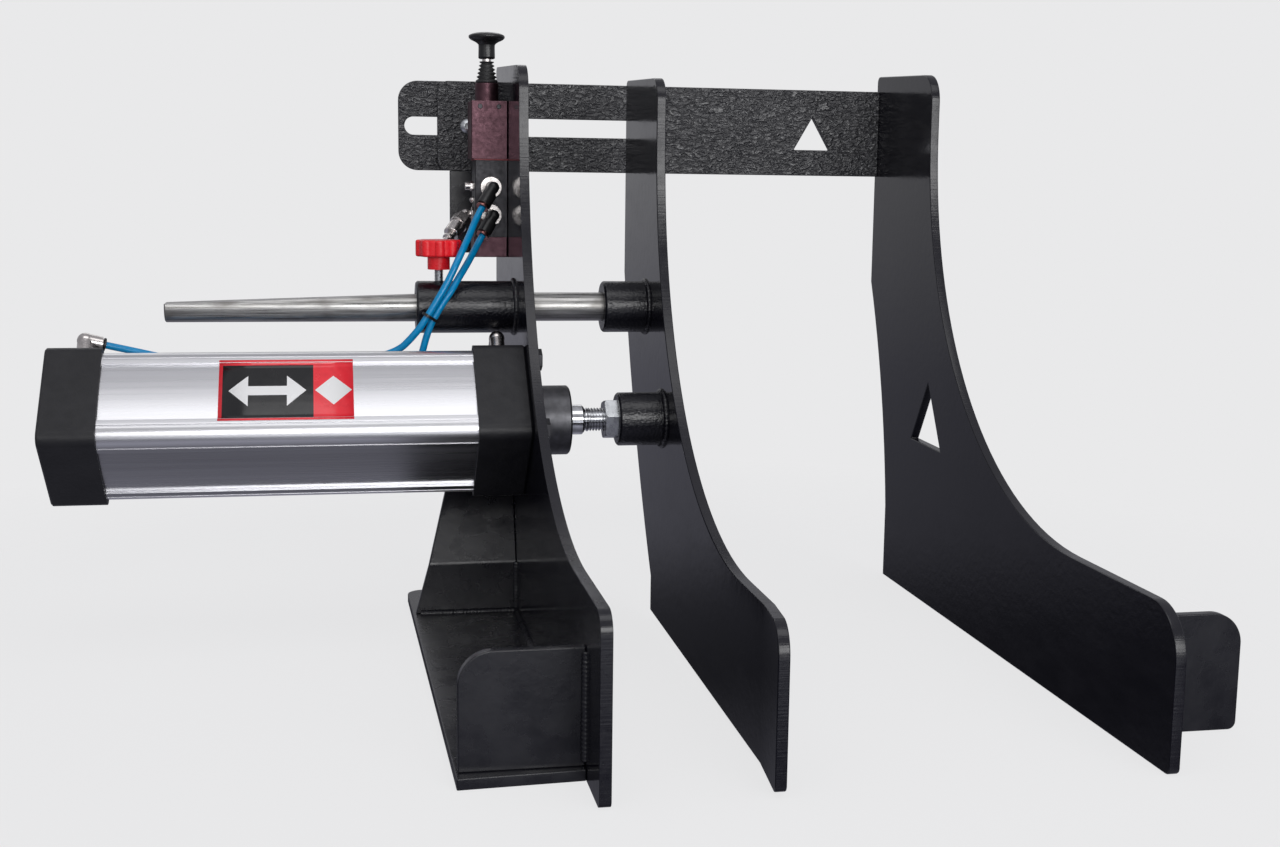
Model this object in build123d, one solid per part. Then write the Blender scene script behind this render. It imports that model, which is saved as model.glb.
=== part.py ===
"""Pneumatic wheel clamp for a motorcycle lift bench.

A profile cylinder pushes a moving jaw towards a fixed jaw, and the front wheel is held between them.
Millimetres, +Z up, +X along the cylinder towards the fixed jaw, -Y towards the arriving wheel.
The origin is on the bench plane, under the cylinder axis, in the middle of the left jaw plate.
"""
from build123d import *
from math import cos, pi, radians, sin, sqrt, tan
import os

os.makedirs("parts", exist_ok=True)

# ---------------------------------------------------------------- driving dimensions
plate_t = 8.0                                # every laser-cut plate
face_x = -plate_t / 2                        # left face of the left jaw plate, where the cylinder bolts on
axis_z = 186.0                               # cylinder axis above the bench

bore_r = 40.0                                # cylinder, bore 80, stroke 250
stroke = 250.0
rod_out = 4.0                                # how far the rod stands out of its fully drawn-in place
cap_side = 95.0
cap_corner = 9.5
cap_len = 43.0
spigot_len = 5.0                             # cap spigot inside the tube
body_len = 128.0 + stroke                    # over both caps
profile_side = 92.0
profile_corner = 15.0
screw_pitch = 72.0                           # square pitch of the cap screws
screw_pcd = screw_pitch * sqrt(2)
rod_r = 12.5                                 # piston rod
rod_thread_r = 10.0                          # M20 x 2.5
neck_r = 22.5
run_gap = 0.05                               # radial clearance of every running fit

jaw_x = face_x + 117.0                       # moving jaw, left face
jaw_gap = 256.0                              # free width between the jaws
fixed_x = jaw_x + plate_t + jaw_gap          # fixed jaw, left face
boss_r = 22.5
boss_len = 39.0

guide_y, guide_z = 79.0, 275.0               # guide rod axis
guide_r = 12.5
guide_left = face_x - 294.0
guide_slope = 2.0                            # degrees, long flat on the guide rod's top
bush_r = 22.5
bush_len = 85.0

bar_y = 226.0                                # front face of the spacer bar
bar_low, bar_high = 393.0, 476.0
bar_left = face_x - 92.0
bar_slot_w = 17.0
bar_slot = (face_x - 86.4, face_x + 140.0)   # left and right end of the slot
bar_mid_z = (bar_low + bar_high) / 2
bolt_x = face_x - 28.0

foot_w = 88.0                                # base plates, across
foot_front = -340.0
foot_rear = 140.0
lug_h = 80.0                                 # upright lug above the base plate
lug_y = -334.0                               # lug's front face, left side

valve_w, valve_d = 29.0, 35.0                # valve body section
valve_y = 144.0                              # spool axis
valve_x = face_x - 17.0
valve_low, valve_mid, valve_top = 334.0, 402.0, 454.0
port_z = (378.0, 353.5)                      # the two outlet ports
port_x = face_x - 15.0
port_y = valve_y - valve_d / 2
valve_travel = 5.0

stop_x = face_x - 65.0                       # stop screw through the guide bush
stop_r = 4.0

tube_r = 3.0                                 # 6 mm air tube
standing = (Align.CENTER, Align.CENTER, Align.MIN)


# ---------------------------------------------------------------- helpers
def save(node, shape):
    """Write one sub-part."""
    export_step(shape, f"parts/{node}.step")


def block(x0, x1, y0, y1, z0, z1):
    """Box between two corners."""
    size = (x1 - x0, y1 - y0, z1 - z0)
    return Pos((x0 + x1) / 2, (y0 + y1) / 2, (z0 + z1) / 2) * Box(*size)


def along(start, direction):
    """Plane at start whose normal is direction."""
    return Plane(origin=start, z_dir=direction)


def rod(start, direction, length, radius):
    """Cylinder from start along direction."""
    return along(start, direction) * Cylinder(radius, length, align=standing)


def ring(start, direction, length, outer, inner):
    """Tube from start along direction."""
    return rod(start, direction, length, outer) - rod(start, direction, length, inner)


def hex_bar(start, direction, length, across_flats, turn=0):
    """Hexagonal prism from start along direction."""
    plane = along(start, direction)
    face = plane * Rot(0, 0, turn) * RegularPolygon(across_flats / 2, 6, major_radius=False)
    return extrude(face, length, dir=plane.z_dir)


def in_x(start_x, profile, thickness):
    """Extrude a Y-Z profile along +X from start_x."""
    return extrude(Plane.YZ.offset(start_x) * profile, thickness)


def in_y(start_y, profile, thickness):
    """Extrude an X-Z profile along +Y from start_y."""
    return extrude(Plane.XZ.offset(-start_y) * profile, -thickness)


def on_axis(x, y=0.0, z=0.0):
    """Point given from the cylinder axis."""
    return (x, y, axis_z + z)


def diamond(side, corner):
    """Square section that stands on its corner, centred on the cylinder axis."""
    return Pos(0, axis_z) * Rot(0, 0, 45) * RectangleRounded(side, side, corner)


def revolve_up(x, y, profile_points):
    """Solid of revolution about the vertical through x, y, from (radius, z) points."""
    face = make_face(Polyline(*profile_points, close=True))
    return Pos(x, y, 0) * revolve(Plane.XZ * face, Axis.Z)


# ---------------------------------------------------------------- jaw plates
def jaw_profile(neck_y, sweep_r, toe, toe_r, top, rear_y, waist_z, heel, rear_mid, bottom, top_r):
    """L-shaped jaw, seen from +X: a narrow neck, a quarter sweep round the tyre and a long toe."""
    toe_y, toe_top = toe
    top_z, front_drop = top                  # the top edge falls a little towards the front
    sweep_y = neck_y - sweep_r
    sweep_z = toe_top + sweep_r
    reach = sweep_r * sin(radians(45))
    heel_y, heel_z = heel
    heel_low, toe_low = bottom
    edges = [
        Line((heel_y, heel_low), (toe_y, toe_low)),
        Line((toe_y, toe_low), (toe_y, toe_top)),
        Line((toe_y, toe_top), (sweep_y, toe_top)),
        ThreePointArc((sweep_y, toe_top), (sweep_y + reach, sweep_z - reach), (neck_y, sweep_z)),
        Line((neck_y, sweep_z), (neck_y, top_z - front_drop)),
        Line((neck_y, top_z - front_drop), (rear_y, top_z)),
        Line((rear_y, top_z), (rear_y, waist_z)),
        ThreePointArc((rear_y, waist_z), rear_mid, (heel_y, heel_z)),
        Line((heel_y, heel_z), (heel_y, heel_low)),
    ]
    face = make_face(edges)

    def corner(y, z):
        return face.vertices().sort_by_distance((y, z, 0))[0]

    face = fillet(corner(neck_y, top_z - front_drop), top_r)
    face = fillet(corner(rear_y, top_z), 6)
    face = fillet(corner(toe_y, toe_low), 5)
    return fillet(corner(toe_y, toe_top), toe_r)


left_profile = jaw_profile(40, 325, (-389, 125), 15, (490, 10), bar_y - 0.5, 290,
                           (150, 66), (186, 165), (0, 0), 22)
left_plate = in_x(face_x, left_profile, plate_t)
left_plate -= rod(on_axis(face_x), (1, 0, 0), plate_t, neck_r + run_gap)
left_plate -= rod((face_x, guide_y, guide_z), (1, 0, 0), plate_t, guide_r + 0.5)
screw_spots = [(screw_pcd / 2 * cos(pi / 2 * i), screw_pcd / 2 * sin(pi / 2 * i)) for i in range(4)]
for dy, dz in screw_spots:
    left_plate -= rod(on_axis(face_x, dy, dz), (1, 0, 0), plate_t, 5.5)
save("left_jaw_plate", left_plate)

lip_start, lip_shift = -335.0, 5.2           # the moving jaw's toe is set away from the wheel
jaw_face = jaw_profile(36, 309, (-389, 112), 22, (477.8, 6), 181, 300, (36, 40), (114, 155), (9, 3), 20)
plan = Polyline((jaw_x, 200), (jaw_x, lip_start), (jaw_x - lip_shift, -395),
                (jaw_x - lip_shift + plate_t, -395), (jaw_x + plate_t, lip_start),
                (jaw_x + plate_t, 200), close=True)
moving_plate = in_x(jaw_x - 10, jaw_face, plate_t + 20) & extrude(make_face(plan), 500)
moving_plate -= rod(on_axis(jaw_x), (1, 0, 0), plate_t, rod_thread_r + 0.5)
save("moving_jaw_plate", moving_plate)

right_rear_y = bar_y + plate_t
right_profile = jaw_profile(84, 320, (-392, 112), 36, (491, 7), right_rear_y, 288,
                            (169, 70), (198, 200), (0, 0), 25)
triangle = Polyline((66.5, axis_z + 18.8), (104.6, axis_z - 38.2), (31, axis_z - 39.2), close=True)
right_plate = in_x(fixed_x, right_profile - make_face(triangle), plate_t)
save("right_jaw_plate", right_plate)

# ---------------------------------------------------------------- spacer bar and its clamp
bar_h = bar_high - bar_low
bar_face = Pos((bar_left + fixed_x) / 2, bar_mid_z) * Rectangle(fixed_x - bar_left, bar_h)
bar_face = fillet(bar_face.vertices().group_by(Axis.X)[0], 18)
slot_len = bar_slot[1] - bar_slot[0]
bar_face -= Pos(sum(bar_slot) / 2, bar_mid_z) * SlotOverall(slot_len, bar_slot_w)
mark_x, mark_z, mark_side = face_x + 312.5, 418.0, 37.0
mark = Polyline((mark_x - mark_side / 2, mark_z), (mark_x + mark_side / 2, mark_z),
                (mark_x, mark_z + mark_side * sin(radians(60))), close=True)
bar_face -= make_face(mark)
save("spacer_bar", in_y(bar_y, bar_face, plate_t))

tab_left = face_x - 56.0
tab_face = Pos((tab_left + face_x) / 2, bar_mid_z) * Rectangle(face_x - tab_left, bar_h)
tab_face = fillet(tab_face.vertices().group_by(Axis.X)[0], 10)
tab_face -= Pos(bolt_x, bar_mid_z) * Circle(4.2)
save("bar_bracket", in_y(bar_y - plate_t, tab_face, plate_t))
save("valve_strip", block(face_x - 44.5, face_x, bar_y - plate_t, bar_y, 316, bar_low))

bolt_r = 4.0
clamp_screw = rod((bolt_x, bar_y - plate_t, bar_mid_z), (0, 1, 0), 31, bolt_r)
head = Sphere(8.6) & Pos(0, 0, 5) * Box(14, 14, 4.4, align=standing)
head = (Pos(0, 0, -4.6) * head) & Cylinder(7, 10)
head -= Pos(0, 0, 2.2) * extrude(RegularPolygon(2.5, 6, major_radius=False), 4)
clamp_screw += along((bolt_x, bar_y - plate_t, bar_mid_z), (0, -1, 0)) * Pos(0, 0, -0.4) * head
save("bar_clamp_screw", clamp_screw)
washer_y = bar_y + plate_t
save("bar_clamp_washer", ring((bolt_x, washer_y, bar_mid_z), (0, 1, 0), 2.5, 15, bolt_r + 0.2))
clamp_nut = hex_bar((bolt_x, washer_y + 2.5, bar_mid_z), (0, 1, 0), 6.8, 13)
save("bar_clamp_nut", clamp_nut - rod((bolt_x, washer_y, bar_mid_z), (0, 1, 0), 20, bolt_r))

# ---------------------------------------------------------------- feet
def foot_plate(x_near, x_far, front, rear, skew):
    """Base plate with a rounded rear outer corner; its outer edge runs slightly off square."""
    side = 1 if x_far > x_near else -1
    points = [(x_near, front), (x_far - side * skew, front - 4), (x_far + side * skew, rear), (x_near, rear)]
    face = make_face(Polyline(*points, close=True))
    face = fillet(face.vertices().sort_by_distance((x_far + side * skew, rear, 0))[0], 14)
    return extrude(face, plate_t)


def lug(x_near, x_far, front, low, top):
    """Upright lug at the front of a base plate, its top outer corner rounded."""
    face = Pos((x_near + x_far) / 2, (low + top) / 2) * Rectangle(abs(x_far - x_near), top - low)
    face = fillet(face.vertices().sort_by_distance((x_far, top, 0))[0], 23)
    return in_y(front, face, plate_t)


save("left_base_plate", foot_plate(face_x, face_x - foot_w, foot_front, foot_rear, 4))
save("left_lug", lug(face_x, face_x - 82.5, lug_y, plate_t, plate_t + lug_h))
right_near = fixed_x + plate_t
right_lug_y = -313.0
right_base = foot_plate(right_near, right_near + foot_w - 8, right_lug_y + plate_t + 4, foot_rear, 2)
right_base &= block(right_near, right_near + 100, right_lug_y + plate_t, foot_rear, 0, plate_t)
save("right_base_plate", right_base)
right_lug = lug(right_near, right_near + foot_w, right_lug_y, 0, 86.5)
outer_corners = right_lug.edges().filter_by(Axis.Y).sort_by_distance((right_near + foot_w, right_lug_y, 0))
right_lug = fillet(outer_corners[0], 6)
save("right_lug", right_lug)

# folded apron behind the cylinder, from the base plate up the left jaw plate
apron_t, apron_y, apron_bend, apron_top = 6.0, 55.0, 52.0, 158.0
lean = tan(radians(22)) * (apron_top - apron_bend)
side_view = Polyline((apron_y, plate_t), (apron_y, apron_bend), (apron_y + lean, apron_top),
                     (apron_y + lean + apron_t, apron_top), (apron_y + apron_t, apron_bend - 1),
                     (apron_y + apron_t, plate_t), close=True)
side_face = make_face(side_view)
bend_line = side_face.vertices().sort_by_distance((apron_y, apron_bend, 0))[0]
side_face = fillet(bend_line, 9)
apron_low_w, apron_high_w = foot_w, 48.0
front_view = Polyline((face_x, plate_t), (face_x - apron_low_w, plate_t), (face_x - apron_high_w, apron_top),
                      (face_x, apron_top), close=True)
apron = in_x(face_x - 100, side_face, 100) & in_y(0, make_face(front_view), 200)
save("left_apron", apron)

# ---------------------------------------------------------------- cylinder
tube_left = face_x - body_len + cap_len
tube_right = face_x - cap_len
profile = diamond(profile_side, profile_corner)
recess_w, recess_d, recess_bow = 55.0, 2.6, 1.3
groove_w, groove_d, groove_step = 1.2, 0.8, 5.5
recess = make_face([
    Line((2, -recess_w / 2), (2, recess_w / 2)),
    Line((2, recess_w / 2), (-recess_d, recess_w / 2)),
    ThreePointArc((-recess_d, recess_w / 2), (recess_bow - recess_d, 0), (-recess_d, -recess_w / 2)),
    Line((-recess_d, -recess_w / 2), (2, -recess_w / 2)),
])
for quarter in range(4):
    side = Pos(0, axis_z) * Rot(0, 0, 45 + 90 * quarter) * Pos(profile_side / 2, 0)
    profile -= side * recess
    for edge in (-1, 1):
        profile -= side * Pos(0, edge * (recess_w / 2 + groove_step)) * Rectangle(2 * groove_d, groove_w)
profile -= Pos(0, axis_z) * Circle(bore_r)
save("cylinder_tube", in_x(tube_left, profile, tube_right - tube_left))


def cap(outer_x, inner_x):
    """End cap between two X positions, with its spigot on the inner side."""
    low, high = min(outer_x, inner_x), max(outer_x, inner_x)
    inward = 1 if inner_x > outer_x else -1
    solid = in_x(low, diamond(cap_side, cap_corner), high - low)
    ends = solid.faces().filter_by(Axis.X).sort_by(Axis.X)
    solid = chamfer((ends[0] if inward > 0 else ends[-1]).edges(), 1.5)
    solid += rod(on_axis(inner_x), (inward, 0, 0), spigot_len, bore_r - run_gap)
    return solid


port_normal = (0, sin(radians(45)), sin(radians(45)))
port_face = cap_side / 2 * sin(radians(45))  # the port is in the middle of the upper rear face


def port_point(x, out):
    """Point on a cap port's axis, out from the cap's face."""
    return (x, port_face + out * port_normal[1], axis_z + port_face + out * port_normal[2])


rear_x = face_x - body_len
rear_cap = cap(rear_x, tube_left)
cap_port = {"rear": rear_x + cap_len / 2, "front": face_x - 16.5}
rear_cap -= rod(port_point(cap_port["rear"], -12), port_normal, 12, 6.2)
socket_r, socket_depth = 8.6, 12.0
for dy, dz in screw_spots:
    rear_cap -= rod(on_axis(rear_x, dy, dz), (1, 0, 0), socket_depth, socket_r)
rear_cap -= rod(on_axis(rear_x), (1, 0, 0), 4, neck_r)
save("rear_cap", rear_cap)

cap_screws = Compound([
    ring(on_axis(rear_x + 1.5, dy, dz), (1, 0, 0), socket_depth - 1.5, socket_r - 0.4, 4.25)
    for dy, dz in screw_spots])
save("rear_cap_screws", cap_screws)

front_cap = cap(face_x, tube_right)
front_cap += rod(on_axis(face_x), (1, 0, 0), 22, neck_r)
front_cap -= rod(on_axis(tube_right - 20), (1, 0, 0), 100, rod_r + run_gap)
front_cap -= rod(port_point(cap_port["front"], -12), port_normal, 12, 6.2)
plate_right = face_x + plate_t
for dy, dz in screw_spots:
    front_cap -= rod(on_axis(face_x - 16, dy, dz), (1, 0, 0), 16, 5)
save("front_cap", front_cap)

plate_screws = Compound([
    rod(on_axis(face_x - 14, dy, dz), (1, 0, 0), plate_t + 14, 5)
    + hex_bar(on_axis(plate_right, dy, dz), (1, 0, 0), 6.4, 16)
    for dy, dz in screw_spots])
save("plate_screws", plate_screws)

collar_end = face_x + 37.0
gland = ring(on_axis(plate_right), (1, 0, 0), collar_end - plate_right, 29, neck_r)
gland += ring(on_axis(face_x + 22), (1, 0, 0), collar_end - face_x - 22, 29, rod_r + run_gap + 4)
gland = chamfer(gland.edges().group_by(Axis.X)[-1].sort_by(SortBy.RADIUS)[-1], 1.5)
save("rod_gland", gland)
wiper_x, wiper_len = face_x + 27.0, 11.0
wiper_inner = rod_r + run_gap
save("rod_wiper", ring(on_axis(wiper_x), (1, 0, 0), wiper_len, wiper_inner + 4, wiper_inner))

# ---------------------------------------------------------------- piston, rod and the moving jaw's bosses
piston_len = 32.0
piston_x = tube_left + spigot_len + rod_out
piston = rod(on_axis(piston_x), (1, 0, 0), piston_len, bore_r - 0.6)
seal_w, seal_depth = 5.0, 3.0
seal_spots = [piston_x + 5, piston_x + piston_len - 5 - seal_w]
for seal_x in seal_spots:
    piston -= ring(on_axis(seal_x), (1, 0, 0), seal_w, bore_r, bore_r - seal_depth)
piston -= rod(on_axis(piston_x), (1, 0, 0), piston_len, 8)
save("piston", piston)
save("piston_seals", Compound([
    ring(on_axis(seal_x), (1, 0, 0), seal_w, bore_r - run_gap, bore_r - seal_depth)
    for seal_x in seal_spots]))

shoulder_x = face_x + 50.0
rod_solid = rod(on_axis(piston_x), (1, 0, 0), piston_len, 8)
rod_solid += rod(on_axis(piston_x + piston_len), (1, 0, 0), shoulder_x - piston_x - piston_len, rod_r)
rod_solid = chamfer(rod_solid.edges().group_by(Axis.X)[-1], 2)
rod_solid += rod(on_axis(shoulder_x), (1, 0, 0), jaw_x + plate_t - shoulder_x, rod_thread_r)
save("piston_rod", rod_solid)

boss_x = jaw_x - boss_len
nut_t = 11.0
nut = hex_bar(on_axis(boss_x - nut_t), (1, 0, 0), nut_t, 30, turn=15)
nut_cone = Cone(16.2, 24, nut_t, align=standing)
nut &= along(on_axis(boss_x - nut_t), (1, 0, 0)) * nut_cone
save("lock_nut", nut - rod(on_axis(boss_x - nut_t), (1, 0, 0), nut_t, rod_thread_r))


def boss(start, inner):
    """Round boss welded to the moving jaw, its free rim chamfered."""
    solid = rod(start, (1, 0, 0), boss_len, boss_r)
    solid = chamfer(solid.edges().group_by(Axis.X)[0], 1.5)
    return solid - rod(start, (1, 0, 0), boss_len, inner)


save("rod_boss", boss(on_axis(boss_x), rod_thread_r))
guide_start = (boss_x, guide_y, guide_z)
save("guide_boss", boss(guide_start, guide_r))

guide = rod((guide_left, guide_y, guide_z), (1, 0, 0), jaw_x - guide_left, guide_r)
guide = chamfer(guide.edges().group_by(Axis.X)[0], 1)
flat_start = face_x - 40.0
flat = Pos(flat_start, guide_y, guide_z + guide_r) * Rot(0, -guide_slope, 0) * \
    Box(400, 40, 20, align=(Align.MAX, Align.CENTER, Align.MIN))
guide -= flat
save("guide_rod", guide)

bush_x = face_x - bush_len
bush = rod((bush_x, guide_y, guide_z), (1, 0, 0), bush_len, bush_r)
bush = chamfer(bush.edges().group_by(Axis.X)[0], 1.5)
bush -= rod((bush_x, guide_y, guide_z), (1, 0, 0), bush_len, guide_r + run_gap)
bush -= rod((stop_x, guide_y, guide_z), (0, 0, 1), 40, stop_r + run_gap)
save("guide_bush", bush)

# ---------------------------------------------------------------- stop screw with the red star knob
screw_tip = guide_z + guide_r + 0.6
pad_t = 2.0
save("stop_pad", rod((stop_x, guide_y, screw_tip), (0, 0, 1), pad_t, stop_r - 0.4))
knob_low, knob_flange, knob_top = 307.5, 318.5, 333.0
stud_low = screw_tip + pad_t + 0.1
save("stop_stud", rod((stop_x, guide_y, stud_low), (0, 0, 1), knob_low + 8 - stud_low, stop_r))
star, lobes = Circle(17.6), 8
for lobe in range(lobes):
    star += Rot(0, 0, 360 / lobes * lobe) * Pos(15.2, 0) * Circle(4.6)
star_knob = extrude(Pos(0, 0, knob_flange) * star, knob_top - knob_flange)
for rim in (-1, 0):
    star_knob = fillet(star_knob.edges().group_by(Axis.Z)[rim], 2)
star_knob += Pos(0, 0, knob_low) * Cylinder(9.6, knob_flange - knob_low + 1, align=standing)
star_knob = Pos(stop_x, guide_y, 0) * star_knob
save("stop_knob", star_knob - rod((stop_x, guide_y, knob_low), (0, 0, 1), 8, stop_r))

# ---------------------------------------------------------------- valve
valve_front = valve_y - valve_d / 2
valve_back = valve_y + valve_d / 2
body = block(face_x - valve_w, face_x, valve_front, valve_back, valve_low, valve_mid)
body = chamfer(body.edges().filter_by(Axis.Z), 0.6)
spool_r = 4.0
body -= rod((valve_x, valve_y, valve_low - 1), (0, 0, 1), 200, spool_r + run_gap)
for z in port_z:
    body -= rod((port_x, valve_front, z), (0, 1, 0), 9, 5)
side_z = (379.0, 366.5, 354.0)               # fittings on the valve's left side
for z in side_z:
    body -= rod((face_x - valve_w, valve_y, z), (1, 0, 0), 7, 3.4)
save("valve_body", body)

gasket_t = 1.2
head_low = valve_mid + gasket_t
head_w = 32.5
head_block = block(face_x - head_w, face_x, valve_front - 1, valve_back + 1, head_low, valve_top)
head_block = chamfer(head_block.edges().filter_by(Axis.Z), 0.8)
head_block -= rod((valve_x, valve_y, head_low - 1), (0, 0, 1), 100, spool_r + run_gap)
for dx in (-head_w + 8, -8):
    head_block -= rod((face_x + dx, valve_front - 1, valve_top - 5), (0, 1, 0), 5, 2)
save("valve_head", head_block)
save("valve_head_screws", Compound([
    rod((face_x + dx, valve_front - 1.8, valve_top - 5), (0, 1, 0), 5.8, 2) for dx in (-head_w + 8, -8)]))
seal = block(face_x - valve_w - 0.6, face_x, valve_front - 0.4, valve_back, valve_mid, head_low)
save("valve_gasket", seal - rod((valve_x, valve_y, valve_mid - 1), (0, 0, 1), 4, spool_r + run_gap))

neck_top, boot_top = 470.0, 489.0
neck_outer_r = 10.5
neck = ring((valve_x, valve_y, valve_top), (0, 0, 1), neck_top - valve_top, neck_outer_r, spool_r + run_gap)
save("valve_neck", neck)
bottom_cap = block(face_x - valve_w - 1, face_x, valve_front, valve_back, 316, valve_low)
bottom_cap = chamfer(bottom_cap.edges().filter_by(Axis.Z), 0.8)
bottom_cap -= rod((valve_x, valve_y, valve_low - valve_travel - 2), (0, 0, 1), 20, spool_r + run_gap)
save("valve_bottom_cap", bottom_cap)

folds = 4
boot_inner = spool_r + 0.6
boot_points = [(boot_inner, neck_top), (9.6, neck_top)]
for fold in range(folds):
    z = neck_top + (boot_top - neck_top) * (fold + 0.25) / folds
    shrink = 0.9 * fold
    boot_points += [(9.6 - shrink, z + 0.8), (7.2 - shrink, z + 2.6)]
boot_points += [(6.2, boot_top - 0.6), (6.2, boot_top), (boot_inner, boot_top)]
save("valve_boot", revolve_up(valve_x, valve_y, boot_points))

knob_low_z = boot_top + 2.4                   # the spool shows between the boot and the knob
knob_points = [(0, knob_low_z), (6.6, knob_low_z), (7.4, knob_low_z + 1), (7.4, knob_low_z + 11.5),
               (8.6, knob_low_z + 13.6), (13.2, knob_low_z + 15.6), (15.8, knob_low_z + 18),
               (16.2, knob_low_z + 19.4),
               (15.4, knob_low_z + 20.8), (12.6, knob_low_z + 22), (7, knob_low_z + 23),
               (0, knob_low_z + 23.4)]
push_knob = revolve_up(valve_x, valve_y, knob_points)
save("valve_knob", push_knob)
save("valve_spool", rod((valve_x, valve_y, valve_low), (0, 0, 1), knob_low_z - valve_low, spool_r))


# ---------------------------------------------------------------- push-in fittings
def unit(vector):
    """Vector of length one."""
    length = sqrt(sum(part * part for part in vector))
    return tuple(part / length for part in vector)


def step_from(point, direction, distance):
    """Point at a distance from another."""
    return tuple(p + distance * d for p, d in zip(point, direction))


collet_gap = 1.3                             # how far a release collet can be pressed


def elbow(seat, stem_dir, stem_len, stem_r, arm_dir, arm_len, arm_r, thread_r, thread_len):
    """Swivel elbow: thread in the port, stem, round knuckle and an arm with a sleeve round the collet."""
    knuckle = step_from(seat, stem_dir, stem_len)
    back = tuple(-part for part in stem_dir)
    solid = rod(seat, stem_dir, stem_len, stem_r) + rod(seat, back, thread_len, thread_r)
    solid += Pos(*knuckle) * Sphere(stem_r + 0.4)
    solid += rod(knuckle, arm_dir, arm_len, stem_r)
    solid += rod(step_from(knuckle, arm_dir, arm_len - 12.5), arm_dir, 12.5, arm_r)
    mouth = step_from(knuckle, arm_dir, arm_len)
    inward = tuple(-part for part in arm_dir)
    return solid - rod(mouth, inward, 11, 4.6), mouth


def collet(mouth, arm_dir, rim_r):
    """Release collet: a sleeve in the elbow's pocket and a rim outside it."""
    inside = step_from(mouth, arm_dir, -5)
    rim = step_from(mouth, arm_dir, collet_gap)
    sleeve = ring(inside, arm_dir, 5 + collet_gap, 4.5, tube_r + 0.15)
    return sleeve + ring(rim, arm_dir, 1.6, rim_r, tube_r + 0.15)


port_arm = unit((-11.3, -10.0, -18.0))
exits = {}
for name, z in zip(("upper", "lower"), port_z):
    seat = (port_x, valve_front - 3, z)
    solid, mouth = elbow(seat, (0, -1, 0), 20, 4.7, port_arm, 20, 6.2, 4.9, 3 + 6)
    save(f"valve_elbow_{name}", solid)
    save(f"valve_collet_{name}", collet(mouth, port_arm, 5.6))
    exits[name] = step_from(mouth, port_arm, collet_gap + 1.6)
save("valve_port_rings", Compound([
    ring((port_x, valve_front - 3, z), (0, 1, 0), 3, 9.4, 4.9) for z in port_z]))

arm_turn = radians(20)                       # the rear elbow points along the cylinder, a little down
slant = sin(arm_turn) * sin(radians(45))
cap_arm = {"rear": (cos(arm_turn), slant, -slant), "front": unit((0.0, 1.0, -1.0))}
for name, direction in cap_arm.items():
    seat = port_point(cap_port[name], 0)
    knuckle_out = 41.0
    solid, mouth = elbow(seat, port_normal, knuckle_out, 6.4, direction, 13, 6.4, 6.0, 8)
    solid += hex_bar(seat, port_normal, 9, 19)
    solid += hex_bar(port_point(cap_port[name], 20), port_normal, 7, 15, turn=15)
    save(f"{name}_cap_elbow", solid)
    save(f"{name}_cap_collet", collet(mouth, direction, 5.8))
    exits[name] = step_from(mouth, direction, collet_gap + 1.6)

# exhaust silencer, blanking plug and air inlet on the valve's left side
side_x = face_x - valve_w
left = (-1, 0, 0)
side_thread_r = 3.3
inlet_stem_r = 3.2


def side_fitting(z, hex_len, across_flats):
    """Thread in the valve's left side with a hexagon outside it."""
    thread = rod((side_x + 6, valve_y, z), left, 6, side_thread_r)
    return thread + hex_bar((side_x, valve_y, z), left, hex_len, across_flats)


silencer_z, plug_z, inlet_z = side_z
silencer_hex = 3.0
silencer = side_fitting(silencer_z, silencer_hex, 8)
silencer += rod((side_x - silencer_hex, valve_y, silencer_z), left, 4.5, 3.6)
save("exhaust_silencer", silencer)
plug = side_fitting(plug_z, 1.2, 6) + Pos(side_x - 1.2, valve_y, plug_z) * Sphere(2.5)
save("blanking_plug", plug)

inlet_hex, inlet_stem = 2.2, 3.0
inlet_stud = side_fitting(inlet_z, inlet_hex, 11)
inlet_stud += rod((side_x - inlet_hex, valve_y, inlet_z), left, inlet_stem, inlet_stem_r)
save("inlet_stud", inlet_stud)
inlet_dir = unit((-14.8, -19.0, -18.0))
inlet_knuckle = (side_x - 6.9, valve_y, inlet_z)
coupler = [                                  # start and length of the neck, hexagon, collar and barrel
    (0, 7), (6, 9), (15, 1.6), (16.6, 13.5)]
neck_at, hex_at, collar_at, barrel_at = [
    (step_from(inlet_knuckle, inlet_dir, start), size) for start, size in coupler]
inlet = Pos(*inlet_knuckle) * Sphere(4.6)
inlet += rod(neck_at[0], inlet_dir, neck_at[1], 4.4)
inlet += hex_bar(hex_at[0], inlet_dir, hex_at[1], 14.5, turn=15)
inlet += rod(collar_at[0], inlet_dir, collar_at[1], 8.2)
inlet += rod(barrel_at[0], inlet_dir, barrel_at[1], 7.5)
inlet -= rod((side_x, valve_y, inlet_z), left, inlet_hex + inlet_stem, inlet_stem_r + run_gap)
nipple_start = step_from(barrel_at[0], inlet_dir, barrel_at[1])
nipple_len, nipple_r = 12.0, 3.9
inlet = chamfer(inlet.edges().filter_by(GeomType.CIRCLE).sort_by_distance(nipple_start)[0], 1)
save("inlet_elbow", inlet)
nipple = rod(nipple_start, inlet_dir, nipple_len, nipple_r)
nipple += ring(step_from(nipple_start, inlet_dir, 4), inlet_dir, 2.5, 5.2, nipple_r)
nipple -= rod(nipple_start, inlet_dir, nipple_len, 2.2)
save("inlet_nipple", nipple)


# ---------------------------------------------------------------- air tubes and their tie
def corner_radii(points):
    """Arc radius for each inner point of a route: 0.45 of the shorter run, over tan of half the turn."""
    radii = []
    for before, here, after in zip(points, points[1:], points[2:]):
        first = Vector(*here) - Vector(*before)
        second = Vector(*after) - Vector(*here)
        half_turn = radians(first.get_angle(second)) / 2
        radii.append(0.45 * min(first.length, second.length) / tan(half_turn))
    return radii


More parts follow.
